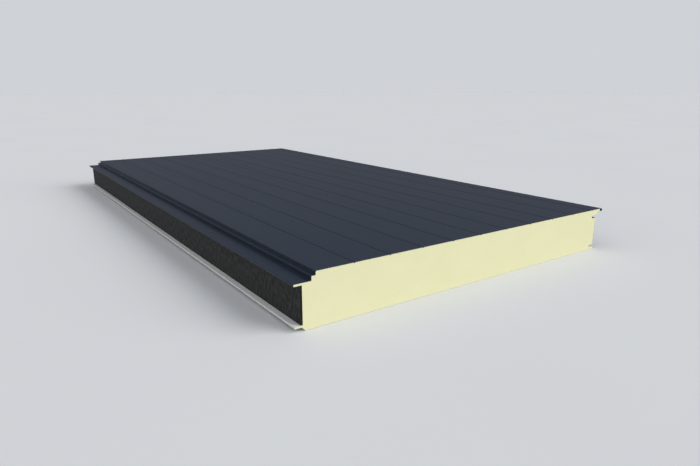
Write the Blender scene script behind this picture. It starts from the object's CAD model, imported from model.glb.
# %% [markdown]
# An insulated wall panel.
# The real panel is made on a line: two thin coated steel strips are roll-formed, liquid foam rises and sets
# between them, a seal and a tape close the foam's long sides, and a flying saw cuts the endless panel to
# length. The solids already hold every size. This lesson rebuilds their faces as finer surfaces and gives
# them finishes.

# %% Load the frame
import math

import bpy
import numpy as np
from mathutils.geometry import delaunay_2d_cdt
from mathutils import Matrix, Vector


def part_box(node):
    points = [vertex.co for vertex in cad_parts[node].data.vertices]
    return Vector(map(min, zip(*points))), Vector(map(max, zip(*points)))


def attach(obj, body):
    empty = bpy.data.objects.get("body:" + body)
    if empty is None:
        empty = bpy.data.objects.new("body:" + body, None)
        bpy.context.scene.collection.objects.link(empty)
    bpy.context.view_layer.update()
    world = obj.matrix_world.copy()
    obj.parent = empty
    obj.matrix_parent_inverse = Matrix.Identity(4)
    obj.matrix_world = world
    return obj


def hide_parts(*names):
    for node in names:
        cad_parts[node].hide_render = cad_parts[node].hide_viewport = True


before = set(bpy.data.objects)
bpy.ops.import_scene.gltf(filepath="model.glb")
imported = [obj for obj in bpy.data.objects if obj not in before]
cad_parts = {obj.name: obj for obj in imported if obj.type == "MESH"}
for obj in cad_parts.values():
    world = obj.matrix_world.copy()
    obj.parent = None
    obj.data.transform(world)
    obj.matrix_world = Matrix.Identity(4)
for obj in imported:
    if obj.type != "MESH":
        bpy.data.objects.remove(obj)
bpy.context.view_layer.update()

print("nodes:", sorted(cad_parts))


# %% [markdown]
# The measures of the joint.
# Both long edges of such a panel are a standard joint: two tongues on one edge, two slots and a lapping
# nose on the other. Most places can be read off the boxes of the solids, and that is better than copying
# them, because a copy can go stale. The few that no box shows are named here, in millimetres.

# %% Boxes of the solids
MM = 0.001


def corners_mm(name):
    """Lowest and highest corner of a node's box, in millimetres."""
    return [np.array(corner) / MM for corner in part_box(name)]


outer_low, outer_high = corners_mm("outer_sheet")
foam_low, foam_high = corners_mm("foam_core")
seal_low, seal_high = corners_mm("tongue_side_seal")
tape_low, tape_high = corners_mm("groove_side_tape")

HALF_LENGTH = outer_high[1]
OUTER_GAUGE = outer_high[2] - foam_high[2]
INNER_GAUGE = foam_low[2]
print(f"{2 * HALF_LENGTH:.0f} mm long, gauges {OUTER_GAUGE:.2f} and {INNER_GAUGE:.2f} mm")

# %% Places at the tongue edge
TONGUE_HEIGHT = 5.0
SEAT_WIDTH = 40.5
SHELF_RUN = 10.0
SHELF_DROP = 8.5
RAMP_RUN = 7.5
RAMP_INSET = 5.5

face = outer_high[2]
tongue_tip = outer_low[0]
core_side = seal_high[0]
seat_under = seal_high[2]
lower_top = seal_low[2]
seat = seat_under + TONGUE_HEIGHT
shelf = face - SHELF_DROP
seat_root = tongue_tip + SEAT_WIDTH
face_edge = seat_root + SHELF_RUN
lower_under = lower_top - TONGUE_HEIGHT
ramp_foot = core_side + RAMP_INSET
ramp_head = ramp_foot - RAMP_RUN
print(f"tongues reach {core_side - tongue_tip:.1f} mm out of the foam")

# %% Places at the groove edge
COVER_WIDTH = 1000.0
SLOT_DEPTH = 17.5
NOSE_LAND = 20.0
LIP_RUN = 5.5
LIP_GAP = 2.5

nose_tip = outer_high[0]
nose_fill = foam_high[0]
groove_side = tape_low[0]
play = seat_under - tape_high[2]
nose_under = shelf + play
slot_end = groove_side - SLOT_DEPTH
lip_foot = ramp_foot + COVER_WIDTH - LIP_GAP
lip_head = lip_foot - LIP_RUN
print(f"slots {TONGUE_HEIGHT + 2 * play:.1f} mm high, outer face {nose_tip - face_edge:.0f} mm wide")


# %% [markdown]
# Putting arrays into a mesh.
# A mesh could be grown face by face with an editor's operators. Here every piece is already known as whole
# arrays of points and corner numbers, so one small function hands them over. It also takes the direction
# that each corner faces: a rolled bend then shades as a true curve and the flat beside it stays flat.

# %% From arrays to a piece
def new_piece(name, points_mm, faces, facing=None, slots=None):
    """Object at the origin, from points in millimetres and blocks of faces with equal numbers of corners.

    facing is one direction for each corner of each face, and slots is the number of each face's finish.
    """
    mesh = bpy.data.meshes.new(name)
    mesh.from_pydata((np.asarray(points_mm) * MM).tolist(), [], sum((f.tolist() for f in faces), []))
    if slots is not None:
        mesh.polygons.foreach_set("material_index", slots.astype(np.int32))
    mesh.polygons.foreach_set("use_smooth", np.ones(len(mesh.polygons), dtype=bool))
    mesh.update()
    if facing is not None:
        mesh.normals_split_custom_set(facing.reshape(-1, 3).tolist())
    piece = bpy.data.objects.new(name, mesh)
    bpy.context.scene.collection.objects.link(piece)
    print(f"{name}: {len(mesh.vertices)} points, {len(mesh.polygons)} faces")
    return piece


# %% [markdown]
# How a strip is rolled.
# Roll forming bends a flat strip a little at each stand until its edges have the joint's shape. The section
# of the finished strip is a line of straight runs and circular bends, so that is what is computed: the
# line's heading turns evenly along each bend, and the other side of the steel lies one gauge to the right
# of it.

# %% The rolled section
BEND_RADIUS = 1.2
BEND_SAMPLES = 9


def rolled_section(corners, gauge, inside):
    """Two rows of points, the visible side and the foam side, and the right-hand normal at each pair.

    A corner that turns by the angle a is replaced by an arc that starts r tan(a / 2) before it. r is the
    inside radius of that bend, and a gauge more where the visible side is outside. With the heading h, the
    right-hand normal is (sin h, -cos h), the arc's point is its centre plus or minus r times that normal,
    and the foam side is the same point plus one gauge times it.
    """
    runs = np.diff(corners, axis=0)
    along = runs / np.linalg.norm(runs, axis=1, keepdims=True)
    heading = np.unwrap(np.arctan2(runs[:, 1], runs[:, 0]))
    turn = np.diff(heading)
    radius = inside + gauge * (turn < 0)
    signed_radius = np.sign(turn) * radius

    angle = heading[:-1, None] + turn[:, None] * np.linspace(0, 1, BEND_SAMPLES)
    right = np.stack([np.sin(angle), -np.cos(angle)], axis=-1)
    start = corners[1:-1] - along[:-1] * (radius * np.tan(np.abs(turn) / 2))[:, None]
    centre = start - signed_radius[:, None] * right[:, 0]
    bends = centre[:, None] + signed_radius[:, None, None] * right

    end_angle = heading[[0, -1]]
    end_right = np.stack([np.sin(end_angle), -np.cos(end_angle)], axis=-1)
    visible = np.vstack([corners[:1], bends.reshape(-1, 2), corners[-1:]])
    right = np.vstack([end_right[:1], right.reshape(-1, 2), end_right[1:]])
    return visible, visible + gauge * right, right


print(f"a square bend is {BEND_SAMPLES} points, {90 / (BEND_SAMPLES - 1):.2f} degrees apart")


# %% [markdown]
# Drawing a section out.
# On the line the strip simply runs on for hundreds of metres. In the mesh a section's ring of points is
# repeated at stations along Y, and each pair of stations is joined by a band of faces.

# %% Bands between stations
def bands(stations, size):
    """Faces from ring point k to k + 1 and from station s to s + 1, all the way round.

    They look outwards where the ring turns to the right, as seen from the near end.
    """
    k = np.arange(size)
    after = (k + 1) % size
    s = np.arange(stations - 1)[:, None] * size
    return np.stack([s + k, s + after, s + size + after, s + size + k], axis=-1).reshape(-1, 4)


print("between two rings of six points:", len(bands(2, 6)), "faces")


# %% [markdown]
# A whole sheet.
# The ring goes forward along the visible side and back along the foam side. The sawn ends and the slit long
# edges are bare metal without coating, so those faces go to a second finish.

# %% From section to sheet
STATIONS = 21


def rolled_sheet(name, corners, gauge, inside):
    """Closed sheet: the ring of both rows of the section at each station, joined by bands, with sawn ends.

    The ring's outward normal is on the left of the way it goes. On the slit edges it is the edge's own left.
    """
    visible, back, right = rolled_section(corners, gauge, inside)
    count = len(visible)
    ring = np.vstack([visible, back[::-1]])
    out = np.vstack([-right, right[::-1]])
    size = len(ring)
    points = np.empty((STATIONS, size, 3))
    points[:, :, [0, 2]] = ring
    points[:, :, 1] = np.linspace(-HALF_LENGTH, HALF_LENGTH, STATIONS)[:, None]

    slit = np.isin(np.arange(size), [count - 1, size - 1])
    edge = np.roll(ring, -1, axis=0) - ring
    edge_out = np.stack([-edge[:, 1], edge[:, 0]], axis=-1) / np.linalg.norm(edge, axis=1, keepdims=True)
    first = np.where(slit[:, None], edge_out, out)
    second = np.where(slit[:, None], edge_out, np.roll(out, -1, axis=0))
    band_facing = np.zeros((STATIONS - 1, size, 4, 3))
    band_facing[..., [0, 2]] = np.stack([first, second, second, first], axis=1)

    i = np.arange(count - 1)
    near_end = np.stack([size - 1 - i, size - 2 - i, i + 1, i], axis=-1)
    far_end = near_end[:, ::-1] + (STATIONS - 1) * size
    end_facing = np.zeros((2, count - 1, 4, 3))
    end_facing[..., 1] = np.array([-1, 1])[:, None, None]

    facing = np.vstack([band_facing.reshape(-1, 4, 3), end_facing.reshape(-1, 4, 3)])
    slots = np.concatenate([np.tile(slit, STATIONS - 1), np.ones(2 * (count - 1), dtype=bool)])
    return new_piece(name, points.reshape(-1, 3), [bands(STATIONS, size), near_end, far_end], facing, slots)


print(f"stations every {2 * HALF_LENGTH / (STATIONS - 1):.0f} mm")


# %% [markdown]
# The outer sheet.
# Outside, the panel is a dark sheet with fine V grooves rolled along it. They stiffen the thin steel and
# hide its slight waviness. A groove is three more corners in the line, so the same rolling shapes it too.
# Its bends are kept sharper than the joint's, because that is what draws it as a thin dark line.

# %% The grooves
FIRST_GROOVE = 93.5
LAST_GROOVE = 51.5
GROOVE_COUNT = 10
GROOVE_WIDTH = 4.5
GROOVE_DEPTH = 1.8
GROOVE_RADIUS = 0.4

groove_centres = np.linspace(face_edge + FIRST_GROOVE, nose_tip - LAST_GROOVE, GROOVE_COUNT)
vee = np.array([[-GROOVE_WIDTH / 2, 0], [0, -GROOVE_DEPTH], [GROOVE_WIDTH / 2, 0]])
grooves = np.stack([groove_centres, np.full(GROOVE_COUNT, face)], axis=-1)[:, None] + vee
print(f"grooves every {np.diff(groove_centres).mean():.1f} mm")

# %% The outer sheet's line and its piece
FOLD_RADIUS = 2.6

outer_line = np.vstack([
    [(core_side, seat_under), (tongue_tip, seat_under), (tongue_tip, seat), (seat_root, seat)],
    [(seat_root, shelf), (face_edge, shelf), (face_edge, face)],
    grooves.reshape(-1, 2),
    [(nose_tip, face), (nose_tip, nose_under), (nose_tip - NOSE_LAND, nose_under)],
    [(groove_side, seat + play), (slot_end, seat + play)],
    [(slot_end, seat_under - play), (groove_side, seat_under - play)],
])
bend_x = outer_line[1:-1, 0]
in_groove = np.isin(bend_x, grooves[:, :, 0])
outer_bends = np.select([bend_x == nose_tip, in_groove], [FOLD_RADIUS, GROOVE_RADIUS], BEND_RADIUS)
outer_sheet = rolled_sheet("outer_sheet_rolled", outer_line, OUTER_GAUGE, outer_bends)


# %% [markdown]
# The inner sheet.
# The room side is a plain pale sheet. Its edges make the lower tongue, with a ramp that guides it in, and
# the lower slot, whose lip slopes the same way as the next panel's ramp and is rounded at its foot.

# %% The inner sheet's line and its piece
inner_line = np.array([
    (groove_side, lower_top + play), (slot_end, lower_top + play), (slot_end, lower_under - play),
    (lip_head, lower_under - play), (lip_foot, 0), (ramp_foot, 0), (ramp_head, lower_under),
    (tongue_tip, lower_under), (tongue_tip, lower_top), (core_side, lower_top),
])
inner_bends = np.where(inner_line[1:-1, 0] == lip_foot, FOLD_RADIUS, BEND_RADIUS)
inner_sheet = rolled_sheet("inner_sheet_rolled", inner_line, INNER_GAUGE, inner_bends)


# %% [markdown]
# The outline of the foam.
# Foam fills the room between the sheets, so its outline is the foam side of both rolled sections, joined by
# the two straight sides. Only the tip of the nose stays hollow, because the froth doesn't flow that far.

# %% The foam's outline
_, outer_back, _ = rolled_section(outer_line, OUTER_GAUGE, outer_bends)
_, inner_back, _ = rolled_section(inner_line, INNER_GAUGE, inner_bends)
filled = outer_back[:, 0] < nose_fill
nose_start = np.argmin(filled)
nose_front = [(nose_fill, face - OUTER_GAUGE), (nose_fill, nose_under + OUTER_GAUGE)]
below_nose = outer_back[nose_start:][filled[nose_start:]]
foam_line = np.vstack([outer_back[:nose_start], nose_front, below_nose, inner_back])
print(f"foam outline: {len(foam_line)} points, {nose_tip - nose_fill:.0f} mm of the nose is hollow")


# %% [markdown]
# The foam's sawn ends.
# A band saw leaves faint upright lines across the foam. The relief is a depth below the plane of the cut,
# worked out for all points at once. It only goes into the panel, because the saw sets the length.

# %% Relief of a sawn end
SAW_PITCHES = np.array([9.0, 5.6, 33.0])
SAW_WEIGHTS = np.array([0.4, 0.25, 0.35])
SAW_DEPTH = 0.12
SAW_LEAN = 0.06


def sawn_relief(across, height, seed):
    """Depth in millimetres below the plane of the cut, for arrays of places across and up the end.

    Saw lines are three sines across the width, of unlike pitch and weight, that lean a little with height.
    Their sum stays between -1 and 1, and is moved and scaled to lie between nothing and the saw's depth.
    """
    phase = np.random.default_rng(seed).uniform(0, 2 * math.pi, len(SAW_PITCHES))
    leaning = across + SAW_LEAN * height
    lines = np.sin(2 * math.pi * leaning[:, None] / SAW_PITCHES + phase) @ SAW_WEIGHTS
    return SAW_DEPTH * (1 + lines) / 2


print(f"saw lines {SAW_PITCHES.min()} to {SAW_PITCHES.max():.0f} mm apart, up to {SAW_DEPTH} mm deep")


# %% [markdown]
# Filling the outline.
# The relief needs points inside the outline. A grid of points, shaken a little so that no row shows, fills
# it, and a Delaunay triangulation joins grid and outline without a gap. The relief then moves only the
# grid.

# %% Inside or outside
def inside_outline(points, outline):
    """True where a ray from the point towards +X crosses the closed outline an odd number of times."""
    start, end = outline, np.roll(outline, -1, axis=0)
    z = points[:, 1:2]
    spans = (start[:, 1] > z) != (end[:, 1] > z)
    rise = np.where(end[:, 1] == start[:, 1], 1, end[:, 1] - start[:, 1])
    crossing = start[:, 0] + (z - start[:, 1]) / rise * (end[:, 0] - start[:, 0])
    return (spans & (crossing > points[:, :1])).sum(axis=1) % 2 == 1


end_middle = np.array([[0, face / 2]])
print("the middle of the end is in the foam:", inside_outline(end_middle, foam_line)[0])

# %% One end of the foam
GRID_STEP = 2.0
SHAKE = 0.3
RIM = 0.5
ONLY_INSIDE = 1
MERGE_WITHIN = 1e-6


def foam_end(outline, seed):
    """Points (outline first, then grid), their depth below the cut, and the triangles, turning to the left.

    A grid point is kept where it and its four neighbours one rim away all lie inside the outline.
    """
    low, high = outline.min(axis=0), outline.max(axis=0)
    x, z = np.meshgrid(np.arange(low[0], high[0], GRID_STEP), np.arange(low[1], high[1], GRID_STEP))
    grid = np.stack([x.ravel(), z.ravel()], axis=-1)
    grid += np.random.default_rng(seed).uniform(-SHAKE, SHAKE, grid.shape) * GRID_STEP
    around = RIM * np.array([(0, 0), (1, 0), (-1, 0), (0, 1), (0, -1)])
    grid = grid[np.all([inside_outline(grid + step, outline) for step in around], axis=0)]
    count = len(outline)
    flat = np.vstack([outline, grid]).tolist()
    points, _, triangles, *_ = delaunay_2d_cdt(flat, [], [list(range(count))], ONLY_INSIDE, MERGE_WITHIN)
    points, triangles = np.array(points), np.array(triangles)
    depth = sawn_relief(points[:, 0], points[:, 1], seed)
    depth[:count] = 0
    a, b, c = (points[triangles[:, i]] for i in range(3))
    turns_left = (b - a)[:, 0] * (c - a)[:, 1] > (b - a)[:, 1] * (c - a)[:, 0]
    return points, depth, np.where(turns_left[:, None], triangles, triangles[:, ::-1])


print(f"grid points every {GRID_STEP:.0f} mm, shaken by up to {SHAKE * GRID_STEP} mm")

# %% The foam core's piece
SHARP_FROM = math.radians(50)


def foam_block(name, outline):
    """Closed block: the outline carried from end to end, and a triangulated sawn face on each end."""
    near, near_depth, near_faces = foam_end(outline, seed=11)
    far, far_depth, far_faces = foam_end(outline, seed=12)
    near_points = np.insert(near, 1, near_depth - HALF_LENGTH, axis=1)
    far_points = np.insert(far, 1, HALF_LENGTH - far_depth, axis=1)
    sides = bands(2, len(outline))
    sides[sides >= len(outline)] += len(near) - len(outline)
    faces = [near_faces, far_faces[:, ::-1] + len(near), sides]
    piece = new_piece(name, np.vstack([near_points, far_points]), faces)
    piece.data.set_sharp_from_angle(angle=SHARP_FROM)
    return piece


foam_core = foam_block("foam_core_sawn", foam_line)


# %% [markdown]
# The seal and the tape.
# Between the tongues a soft strip stands out of the foam's side, for the next panel to squeeze. Between the
# slots a thin tape closes the foam. Both have a fibrous face that shrank into upright creases as the foam
# set. A crease is a narrow ridge with its own place, height and reach, so the whole face is a sum of bells.

# %% Depth of the creases
CREASE_SPACING = 5.0
CREASE_WIDTH = (1.5, 6.0)
CREASE_REACH = (25, 90)
CREASE_HEIGHT = (0.2, 1.0)


def creases(along, up, tallest, seed):
    """Depth in millimetres below the strip's face, for a row of places along it and a row of heights.

    Each crease is a bell exp(-(d / w)^2) of the distance d along the strip, times a wider bell of the height
    above its own middle. The sum over the creases is a product of two matrices, scaled to the tallest depth.
    """
    dice = np.random.default_rng(seed)
    count = int(np.ptp(along) / CREASE_SPACING)
    place = dice.uniform(along.min(), along.max(), count)
    width = dice.uniform(*CREASE_WIDTH, count)
    middle = dice.uniform(up.min(), up.max(), count)
    reach = dice.uniform(*CREASE_REACH, count)
    ridges = np.exp(-((along[:, None] - place) / width) ** 2) * dice.uniform(*CREASE_HEIGHT, count)
    relief = ridges @ np.exp(-((up - middle[:, None]) / reach[:, None]) ** 2)
    return tallest * (1 - relief / relief.max())


print(f"{2 * HALF_LENGTH / CREASE_SPACING:.0f} creases along each strip")

# %% Strips with a creased face
STRIP_STEP = 1.25
STRIP_ROWS = 22


def side_strip(name, low, high, outward, tallest, seed):
    """Closed strip: at each station a ring of the creased front and two back corners, joined by bands.

    The front is the box's outer side less the creases' depth, and its rim stays on the box. Heights run
    down on a strip that faces +X and up on one that faces -X, so both rings turn to the right.
    """
    along = np.linspace(low[1], high[1], round((high[1] - low[1]) / STRIP_STEP) + 1)
    up = np.linspace(low[2], high[2], STRIP_ROWS)[::-outward]
    back_side, front_side = (low[0], high[0])[::outward]
    sunk = np.zeros((len(along), STRIP_ROWS))
    sunk[1:-1, 1:-1] = creases(along, up, tallest, seed)[1:-1, 1:-1]
    front = np.stack(np.broadcast_arrays(front_side - outward * sunk, along[:, None], up), axis=-1)
    back = np.stack(np.broadcast_arrays(back_side, along[:, None], up[[-1, 0]]), axis=-1)
    points = np.concatenate([front, back], axis=1)

    stations, size = points.shape[:2]
    k = np.arange(size)
    ends = np.stack([k[::-1], k + (stations - 1) * size])
    cut = np.concatenate([np.tile(k >= STRIP_ROWS - 1, stations - 1), [True, True]])
    piece = new_piece(name, points.reshape(-1, 3), [bands(stations, size), ends], slots=cut)
    piece.data.set_sharp_from_angle(angle=SHARP_FROM)
    return piece


tongue_seal = side_strip("tongue_seal_creased", seal_low, seal_high, outward=-1, tallest=0.5, seed=21)
groove_tape = side_strip("groove_tape_creased", tape_low, tape_high, outward=1, tallest=0.3, seed=22)


# %% [markdown]
# Where the finishes come from.
# Every finish is a small network of nodes. One function adds a node with its settings and links, another
# turns a colour as written on a paint card, an sRGB hex value, into the linear numbers that light is
# reckoned in.

# %% Helpers for finishes
def linear(hex_colour):
    """Linear colour, full cover, from sRGB hex: ((c + 0.055) / 1.055)^2.4 above the toe, c / 12.92 in it."""
    channels = [int(hex_colour[i:i + 2], 16) / 255 for i in (1, 3, 5)]
    return [((c + 0.055) / 1.055) ** 2.4 if c > 0.04045 else c / 12.92 for c in channels] + [1.0]


def per_mm(size):
    """Texture scale for features of this size: one divided by the size in metres."""
    return 1 / (size * MM)


print("mid grey in linear light:", [round(c, 3) for c in linear("#808080")])

# %% One function for every node
def add(tree, kind, inputs=None, **settings):
    """A new node with its settings. An input is a plain value, or another node's socket to link."""
    node = tree.nodes.new(kind)
    for key, value in settings.items():
        setattr(node, key, value)
    for key, value in (inputs or {}).items():
        if isinstance(value, bpy.types.NodeSocket):
            tree.links.new(value, node.inputs[key])
        else:
            node.inputs[key].default_value = value
    return node


def new_finish(name):
    """An empty material, its tree, and the object's own coordinates in metres."""
    material = bpy.data.materials.new(name)
    material.use_nodes = True
    tree = material.node_tree
    tree.nodes.clear()
    print("finish:", name)
    return material, tree, add(tree, "ShaderNodeTexCoord").outputs["Object"]


# %% [markdown]
# Coil coating.
# The steel is galvanised and painted as a flat strip, then rolled, so its colour is very even. Baked
# polyester has a satin sheen, a grain like fine orange peel and, from the rollers, faint lengthwise streaks
# in the gloss.

# %% Two coil coatings
CLOUD = 260
STREAK_WIDTH, STREAK_LENGTH = 14, 1500
# Real grain is near 0.3 mm. It is drawn five times as coarse so that it shows.
GRAIN, GRAIN_DEPTH = 1.6, 0.05


def coil_coating(name, dark, light, gloss):
    """Baked polyester on a strip: wide clouds in the colour, long streaks in the gloss, and grain as bump."""
    material, tree, place = new_finish(name)
    clouds = add(tree, "ShaderNodeTexNoise", {"Vector": place, "Scale": per_mm(CLOUD), "Detail": 3.0})
    shades = {"Factor": clouds.outputs["Fac"], "A": linear(dark), "B": linear(light)}
    colour = add(tree, "ShaderNodeMix", shades, data_type="RGBA")
    drawn = add(tree, "ShaderNodeMapping", {"Vector": place, "Scale": (1, STREAK_WIDTH / STREAK_LENGTH, 1)})
    streaked = {"Vector": drawn.outputs["Vector"], "Scale": per_mm(STREAK_WIDTH), "Detail": 2.0}
    streaks = add(tree, "ShaderNodeTexNoise", streaked).outputs["Fac"]
    rough = add(tree, "ShaderNodeMapRange", {"Value": streaks, "To Min": gloss[0], "To Max": gloss[1]})
    grain = add(tree, "ShaderNodeTexNoise", {"Vector": place, "Scale": per_mm(GRAIN), "Detail": 2.0})
    peel = {"Height": grain.outputs["Fac"], "Strength": 0.12, "Distance": GRAIN_DEPTH * MM}
    shader = add(tree, "ShaderNodeBsdfPrincipled", {
        "Base Color": colour.outputs["Result"],
        "Roughness": rough.outputs["Result"],
        "Normal": add(tree, "ShaderNodeBump", peel).outputs["Normal"],
    })
    add(tree, "ShaderNodeOutputMaterial", {"Surface": shader.outputs["BSDF"]})
    return material


anthracite = coil_coating("anthracite_coil_coating", "#152132", "#182436", (0.46, 0.56))
grey_white = coil_coating("grey_white_coil_coating", "#DBDCD9", "#E0E1DE", (0.42, 0.52))


# %% [markdown]
# Bare cut edges.
# Where the saw or the slitting knife went through, the coating ends and the steel shows as a bright line
# with a thin film of zinc dragged over it. It is a metal, so it keeps the shader's own index of refraction.

# %% Cut galvanised steel
# Real scratches are near 0.2 mm apart. They are drawn four times as coarse so that they show.
SCRATCH = 0.8


def cut_steel():
    """Galvanised steel where it was cut: grey metal, with scratches as bands of unlike roughness."""
    material, tree, place = new_finish("cut_galvanised_steel")
    scratches = add(tree, "ShaderNodeTexNoise", {"Vector": place, "Scale": per_mm(SCRATCH), "Detail": 2.0})
    dragged = {"Value": scratches.outputs["Fac"], "To Min": 0.35, "To Max": 0.6}
    shader = add(tree, "ShaderNodeBsdfPrincipled", {
        "Base Color": linear("#BFC3C5"),
        "Metallic": 1.0,
        "Roughness": add(tree, "ShaderNodeMapRange", dragged).outputs["Result"],
    })
    add(tree, "ShaderNodeOutputMaterial", {"Surface": shader.outputs["BSDF"]})
    return material


cut_edge = cut_steel()


# %% [markdown]
# Rigid foam.
# The foam is cream when it is fresh. Close to, the saw has opened a field of tiny cells and here and there
# a larger pore. From further off it is very even, with faint clouds where the froth flowed. It is quite
# matt.

# %% Cream rigid foam
FLOW = 70
# Real cells are near 0.4 mm. They are drawn over three times as coarse so that they show.
CELL, CELL_DEPTH = 1.4, 0.3
PORE_SPACING, PORE_RADIUS = 7, 0.8


def rigid_foam():
    """Closed-cell foam: clouds in the colour, and cells and pores as speckle and bump.

    A pore is where the distance to the nearest of many scattered points is less than its radius.
    """
    material, tree, place = new_finish("cream_rigid_foam")
    flowed = {"Vector": place, "Scale": per_mm(FLOW), "Detail": 4.0, "Distortion": 0.8}
    flow = add(tree, "ShaderNodeTexNoise", flowed).outputs["Fac"]
    shades = {"Factor": flow, "A": linear("#E4E1B5"), "B": linear("#E9E6BD")}
    clouds = add(tree, "ShaderNodeMix", shades, data_type="RGBA").outputs["Result"]
    cells = add(tree, "ShaderNodeTexVoronoi", {"Vector": place, "Scale": per_mm(CELL)}).outputs["Distance"]
    walls = add(tree, "ShaderNodeMapRange", {"Value": cells, "To Min": 1.0, "To Max": 0.93}).outputs["Result"]
    near = add(tree, "ShaderNodeTexVoronoi", {"Vector": place, "Scale": per_mm(PORE_SPACING)})
    bowl = {"Value": near.outputs["Distance"], "From Min": 0.0, "From Max": PORE_RADIUS / PORE_SPACING}
    pores = add(tree, "ShaderNodeMapRange", {**bowl, "To Min": 0.7, "To Max": 1.0}).outputs["Result"]
    speckle = add(tree, "ShaderNodeMath", {0: walls, 1: pores}, operation="MULTIPLY").outputs["Value"]
    spotted = {"Factor": 1.0, "A": clouds, "B": speckle}
    painted = add(tree, "ShaderNodeMix", spotted, data_type="RGBA", blend_type="MULTIPLY").outputs["Result"]
    cell_bump = {"Height": cells, "Strength": 0.25, "Distance": CELL_DEPTH * MM}
    fine = add(tree, "ShaderNodeBump", cell_bump).outputs["Normal"]
    pore_bump = {"Height": pores, "Strength": 0.6, "Distance": PORE_RADIUS * MM, "Normal": fine}
    shader = add(tree, "ShaderNodeBsdfPrincipled", {
        "Base Color": painted,
        "Roughness": 0.92,
        "Specular IOR Level": 0.2,
        "Normal": add(tree, "ShaderNodeBump", pore_bump).outputs["Normal"],
    })
    add(tree, "ShaderNodeOutputMaterial", {"Surface": shader.outputs["BSDF"]})
    return material


foam = rigid_foam()


# %% [markdown]
# Charcoal fleece.
# The seal and the tape both have a face of pressed fibres that run up the side. Lighter and darker hairs
# lie in upright wisps, and the fibres scatter light, so the face is matt.

# %% Pressed fleece
WISP_WIDTH, WISP_HEIGHT = 4.5, 16
# Real fibres are near 0.05 mm. They are drawn far coarser so that they show.
FIBRE_WIDTH, FIBRE_HEIGHT, FIBRE_DEPTH = 1.2, 18, 0.2


def pressed_fleece():
    """Charcoal fleece: upright wisps in the colour, with finer hairs in them, and thinner fibres as bump."""
    material, tree, place = new_finish("charcoal_pressed_fleece")
    upright = add(tree, "ShaderNodeMapping", {"Vector": place, "Scale": (1, 1, WISP_WIDTH / WISP_HEIGHT)})
    hairs = {"Vector": upright.outputs["Vector"], "Scale": per_mm(WISP_WIDTH)}
    wisps = add(tree, "ShaderNodeTexNoise", {**hairs, "Detail": 6.0, "Roughness": 0.65}).outputs["Fac"]
    sharper = add(tree, "ShaderNodeMapRange", {"Value": wisps, "From Min": 0.39, "From Max": 0.61})
    shades = {"Factor": sharper.outputs["Result"], "A": linear("#101010"), "B": linear("#3D3D3C")}
    thin = add(tree, "ShaderNodeMapping", {"Vector": place, "Scale": (1, 1, FIBRE_WIDTH / FIBRE_HEIGHT)})
    drawn = {"Vector": thin.outputs["Vector"], "Scale": per_mm(FIBRE_WIDTH), "Detail": 2.0}
    fibres = add(tree, "ShaderNodeTexNoise", drawn).outputs["Fac"]
    felted = {"Height": fibres, "Strength": 0.5, "Distance": FIBRE_DEPTH * MM}
    shader = add(tree, "ShaderNodeBsdfPrincipled", {
        "Base Color": add(tree, "ShaderNodeMix", shades, data_type="RGBA").outputs["Result"],
        "Roughness": 0.8,
        "Specular IOR Level": 0.3,
        "Normal": add(tree, "ShaderNodeBump", felted).outputs["Normal"],
    })
    add(tree, "ShaderNodeOutputMaterial", {"Surface": shader.outputs["BSDF"]})
    return material


fleece = pressed_fleece()


# %% [markdown]
# Cell rubber.
# Under its fleece the strip is foamed rubber. Where it was sawn through with the panel, open cells swallow
# the light and the cut looks almost black.

# %% Sawn cell rubber
RUBBER_CELL, RUBBER_CELL_DEPTH = 0.9, 0.3


def sawn_cell_rubber():
    """Sawn foamed rubber: round cells, darker in the middle than on their walls, also as bump."""
    material, tree, place = new_finish("black_cell_rubber_sawn")
    holes = add(tree, "ShaderNodeTexVoronoi", {"Vector": place, "Scale": per_mm(RUBBER_CELL)})
    cells = holes.outputs["Distance"]
    shades = {"Factor": cells, "A": linear("#0E0E0F"), "B": linear("#212123")}
    open_cells = {"Height": cells, "Strength": 0.6, "Distance": RUBBER_CELL_DEPTH * MM}
    shader = add(tree, "ShaderNodeBsdfPrincipled", {
        "Base Color": add(tree, "ShaderNodeMix", shades, data_type="RGBA").outputs["Result"],
        "Roughness": 0.85,
        "Specular IOR Level": 0.2,
        "Normal": add(tree, "ShaderNodeBump", open_cells).outputs["Normal"],
    })
    add(tree, "ShaderNodeOutputMaterial", {"Surface": shader.outputs["BSDF"]})
    return material


cell_rubber = sawn_cell_rubber()


# %% [markdown]
# Dressing the pieces.
# Each new surface stands for one solid. It rides on the same body, takes that solid's place in the picture,
# and names the finish that the record gives it.

# %% Pieces, nodes and finishes
dressed = [
    (outer_sheet, "outer_sheet", "outer_coating", [anthracite, cut_edge]),
    (inner_sheet, "inner_sheet", "inner_coating", [grey_white, cut_edge]),
    (foam_core, "foam_core", "foam", [foam]),
    (tongue_seal, "tongue_side_seal", "joint_seal", [fleece, cell_rubber]),
    (groove_tape, "groove_side_tape", "side_tape", [fleece, cell_rubber]),
]
for piece, node, slot, finishes in dressed:
    for finish in finishes:
        piece.data.materials.append(finish)
    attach(piece, "root")
    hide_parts(node)
print("dressed:", [piece.name for piece, *_ in dressed])


# %% [markdown]
# The floor.
# The panel lies on its inner sheet on a pale floor, large enough to reach the horizon and without any gloss,
# so that its tone is the same from every side. It is set a hair lower than the sheet, because two faces in
# one plane would fight for each pixel.

# %% A pale floor
FLOOR_HALF = 40000.0
FLOOR_DROP = 0.1
FLOOR_CLOUD = 900


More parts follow.
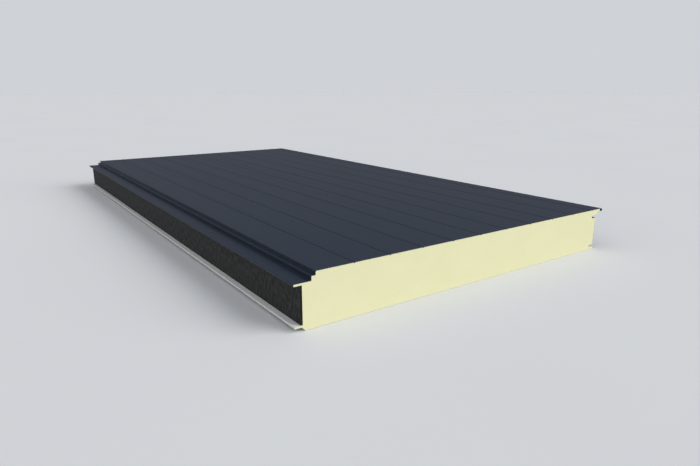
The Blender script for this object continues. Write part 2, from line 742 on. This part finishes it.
def pale_floor():
    """Matt painted floor, with wide clouds in the colour that are barely there."""
    material, tree, place = new_finish("pale_floor_paint")
    clouds = add(tree, "ShaderNodeTexNoise", {"Vector": place, "Scale": per_mm(FLOOR_CLOUD), "Detail": 2.0})
    shades = {"Factor": clouds.outputs["Fac"], "A": linear("#D5D6D8"), "B": linear("#DADBDC")}
    colour = add(tree, "ShaderNodeMix", shades, data_type="RGBA").outputs["Result"]
    matt = {"Base Color": colour, "Roughness": 0.9, "Specular IOR Level": 0.0}
    shader = add(tree, "ShaderNodeBsdfPrincipled", matt)
    add(tree, "ShaderNodeOutputMaterial", {"Surface": shader.outputs["BSDF"]})
    return material


floor_corners = np.array([(-1, -1, 0), (1, -1, 0), (1, 1, 0), (-1, 1, 0)]) * FLOOR_HALF
floor = new_piece("floor", floor_corners - [0, 0, FLOOR_DROP], [np.array([[0, 1, 2, 3]])])
floor.data.materials.append(pale_floor())


# %% [markdown]
# The light.
# In the picture the sawn end is the brightest face, and the step by the tongue shades the shelf and the
# flat beside it. So the large key lamp stands to the right and in front, and a weak fill to the left keeps
# the dark side readable. Both are far away, which makes their light even, and wide, which makes their
# shadows soft.

# %% Two far lamps
def far_softbox(name, comes_from, strength, spread):
    """Distant lamp: its own Z axis is turned to where the light comes from, over a disc of spread degrees."""
    x, y, z = comes_from
    lamp = bpy.data.objects.new(name, bpy.data.lights.new(name, "SUN"))
    lamp.data.energy = strength
    lamp.data.angle = math.radians(spread)
    lamp.rotation_euler = (math.atan2(math.hypot(x, y), z), 0, math.atan2(x, -y))
    bpy.context.scene.collection.objects.link(lamp)
    print(f"{name}: {math.degrees(math.atan2(z, math.hypot(x, y))):.0f} degrees up, strength {strength}")


far_softbox("key_softbox", (0.55, -0.55, 0.48), strength=2.5, spread=45)
far_softbox("fill_softbox", (-0.7, -0.22, 0.62), strength=0.85, spread=80)


# %% [markdown]
# The room around it.
# A studio's ceiling is brighter than its walls. The strength of the sky grows with the square of the upward
# part of its direction. Seen at a flat angle, the top of the panel mirrors the walls, and the grooves, which
# turn away from them, stay dark. The camera itself sees a plain backdrop instead, in the floor's tone, so
# that no horizon shows.

# %% Ceiling and backdrop
WALL_LIGHT = 0.26
CEILING_LIGHT = 0.52

world = bpy.data.worlds.new("studio")
bpy.context.scene.world = world
world.use_nodes = True
sky = world.node_tree
sky.nodes.clear()
way = add(sky, "ShaderNodeSeparateXYZ", {"Vector": add(sky, "ShaderNodeTexCoord").outputs["Generated"]})
climb = add(sky, "ShaderNodeMath", {0: way.outputs["Z"], 1: 2.0}, operation="POWER")
between = {"Value": climb.outputs["Value"], "To Min": WALL_LIGHT, "To Max": CEILING_LIGHT}
ceiling = add(sky, "ShaderNodeMapRange", between)
room = add(sky, "ShaderNodeBackground", {"Color": linear("#ECF1F9"), "Strength": ceiling.outputs["Result"]})
backdrop = add(sky, "ShaderNodeBackground", {"Color": linear("#CFD2D6"), "Strength": 1.0})
seen = add(sky, "ShaderNodeLightPath").outputs["Is Camera Ray"]
either = add(sky, "ShaderNodeMixShader", {0: seen, 1: room.outputs[0], 2: backdrop.outputs[0]})
add(sky, "ShaderNodeOutputWorld", {"Surface": either.outputs[0]})
bpy.context.scene.view_settings.view_transform = "Standard"
print("room:", [node.bl_idname for node in sky.nodes])


# %% [markdown]
# The camera.
# The picture was taken from beyond the near corner, a little above the panel. The edges of the panel are
# parallel in threes, so their vanishing points give the lens and the turn, and the known sizes the place.

# %% The camera
LENS, FRAME_WIDTH = 28, 36
CAMERA_PLACE = (-0.9956, -1.8642, 0.4667)
LOOK_DOWN, LOOK_RIGHT = 15, 35

camera = bpy.data.objects.new("camera", bpy.data.cameras.new("camera"))
camera.data.lens = LENS
camera.data.sensor_width = FRAME_WIDTH
camera.location = CAMERA_PLACE
camera.rotation_euler = (math.radians(90 - LOOK_DOWN), 0, -math.radians(LOOK_RIGHT))
bpy.context.scene.collection.objects.link(camera)
bpy.context.scene.camera = camera
print(f"camera: lens {camera.data.lens:.0f} mm, {camera.location.z:.2f} m above the floor")
